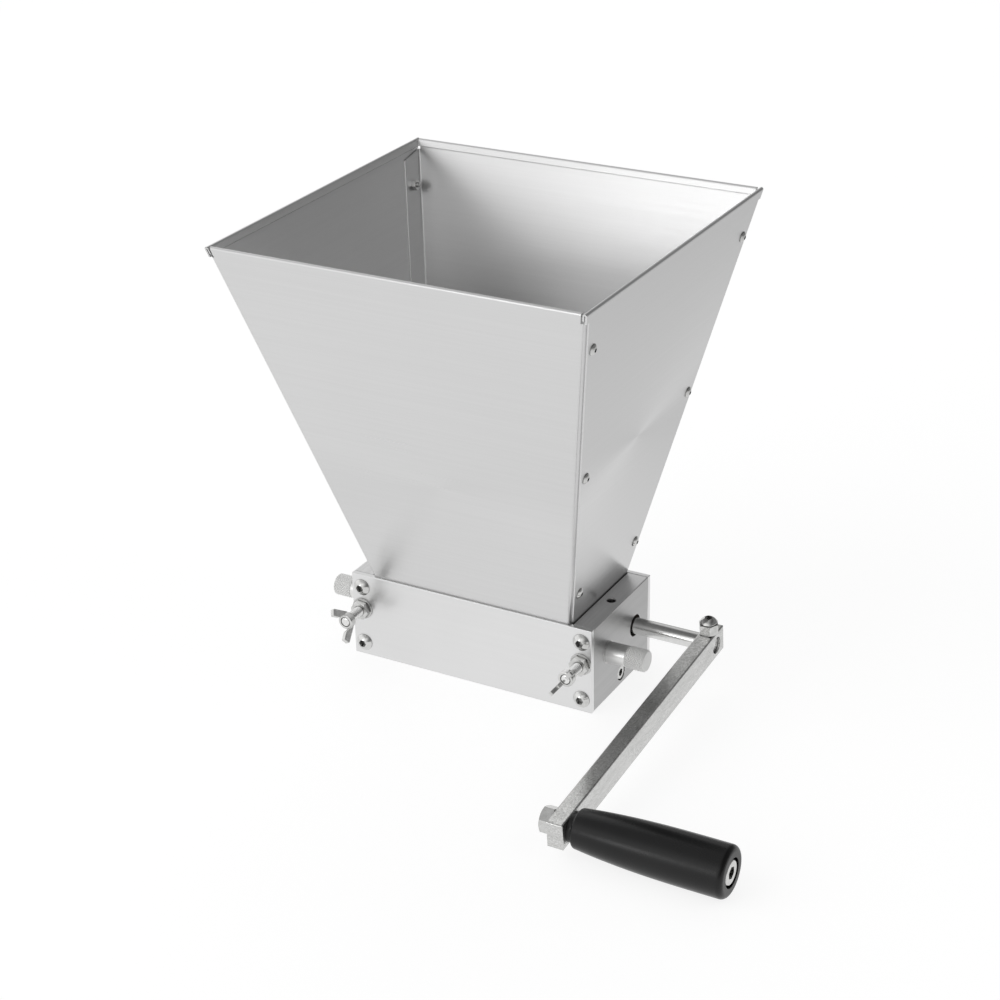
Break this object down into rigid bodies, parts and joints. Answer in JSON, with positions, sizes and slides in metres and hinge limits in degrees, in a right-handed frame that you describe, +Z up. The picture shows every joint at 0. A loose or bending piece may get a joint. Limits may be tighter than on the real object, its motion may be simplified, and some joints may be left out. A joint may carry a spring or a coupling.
{
  "type": "malt mill",
  "caption": "Hand cranked roller mill for malt: sheet metal hopper over a flat housing, side crank with black grip, gap adjusters and wing lock screws.",
  "frame": {"origin": "middle of the housing's underside, at the centre of its four tapped base holes", "axes": "+X along the drive shaft towards the crank, -Y out of the front plate, +Z up"},
  "size_m": [0.3215, 0.275, 0.2641],
  "materials": {
    "machined_aluminium": "fine machined",
    "cover_stainless": "satin brushed",
    "hopper_stainless": "satin brushed sheet",
    "plated_steel": "bright plated",
    "ground_steel": "ground",
    "roller_steel": "knurled",
    "bronze": "sintered",
    "arm_steel": "satin plated",
    "black_grip": "glossy"
  },
  "bodies": {
    "mill": {"left_end_plate": "machined_aluminium", "right_end_plate": "machined_aluminium", "front_plate": "cover_stainless", "back_plate": "cover_stainless", "plate_screws": "plated_steel", "tie_rod": "ground_steel", "tie_rod_screws": "plated_steel", "left_shaft_bush": "bronze", "right_shaft_bush": "bronze", "hopper_front_panel": "hopper_stainless", "hopper_back_panel": "hopper_stainless", "hopper_left_panel": "hopper_stainless", "hopper_right_panel": "hopper_stainless", "hopper_seam_screws": "plated_steel", "hopper_seam_nuts": "plated_steel", "hopper_foot_screws": "plated_steel"},
    "crank": {"drive_shaft": "ground_steel", "drive_roller": "roller_steel", "crank_arm": "arm_steel", "clamp_screw": "plated_steel", "clamp_nut": "plated_steel", "handle_bolt": "plated_steel", "handle_nut": "plated_steel", "handle_spacer": "black_grip"},
    "grip": {"handle_grip": "black_grip"},
    "right_adjuster": {"right_gap_adjuster": "ground_steel"},
    "left_adjuster": {"left_gap_adjuster": "ground_steel"},
    "idler": {"idler_roller": "roller_steel", "idler_shaft": "ground_steel"},
    "right_lock_seat": {"right_lock_washer": "plated_steel"},
    "right_lock": {"right_lock_stud": "plated_steel", "right_lock_wing": "plated_steel", "right_lock_jam_nut": "plated_steel"},
    "left_lock_seat": {"left_lock_washer": "plated_steel"},
    "left_lock": {"left_lock_stud": "plated_steel", "left_lock_wing": "plated_steel", "left_lock_jam_nut": "plated_steel"}
  },
  "joints": [
    {"name": "crank_turn", "type": "hinge", "parent": "mill", "child": "crank", "pos_m": [0.12185, 0.01748, 0.02848], "axis": [1, 0, 0], "continuous": true},
    {"name": "grip_turn", "type": "hinge", "parent": "crank", "child": "grip", "pos_m": [0.17, -0.15592, 0.01395], "axis": [1, 0, 0], "continuous": true},
    {"name": "right_gap_turn", "type": "hinge", "parent": "mill", "child": "right_adjuster", "pos_m": [0.0765, -0.01582, 0.02848], "axis": [1, 0, 0], "range_deg": [-90, 90]},
    {"name": "left_gap_turn", "type": "hinge", "parent": "mill", "child": "left_adjuster", "pos_m": [-0.0765, -0.01582, 0.02848], "axis": [1, 0, 0], "range_deg": [-90, 90]},
    {"name": "idler_turn", "type": "hinge", "parent": "right_adjuster", "child": "idler", "pos_m": [0, -0.01582, 0.02942], "axis": [1, 0, 0], "continuous": true},
    {"name": "right_lock_travel", "type": "slide", "parent": "mill", "child": "right_lock_seat", "axis": [0, -1, 0], "range_m": [0, 0.00101]},
    {"name": "right_lock_turn", "type": "hinge", "parent": "right_lock_seat", "child": "right_lock", "pos_m": [0.07015, -0.03675, 0.02987], "axis": [0, -1, 0], "range_deg": [0, 360]},
    {"name": "left_lock_travel", "type": "slide", "parent": "mill", "child": "left_lock_seat", "axis": [0, -1, 0], "range_m": [0, 0.00101]},
    {"name": "left_lock_turn", "type": "hinge", "parent": "left_lock_seat", "child": "left_lock", "pos_m": [-0.07015, -0.03675, 0.02987], "axis": [0, -1, 0], "range_deg": [0, 360]}
  ],
  "couplings": [
    {"joint": "left_gap_turn", "follows": "right_gap_turn", "ratio": 1},
    {"joint": "right_lock_travel", "follows": "right_lock_turn", "m_per_rad": 0.00015915},
    {"joint": "left_lock_travel", "follows": "left_lock_turn", "m_per_rad": 0.00015915}
  ]
}
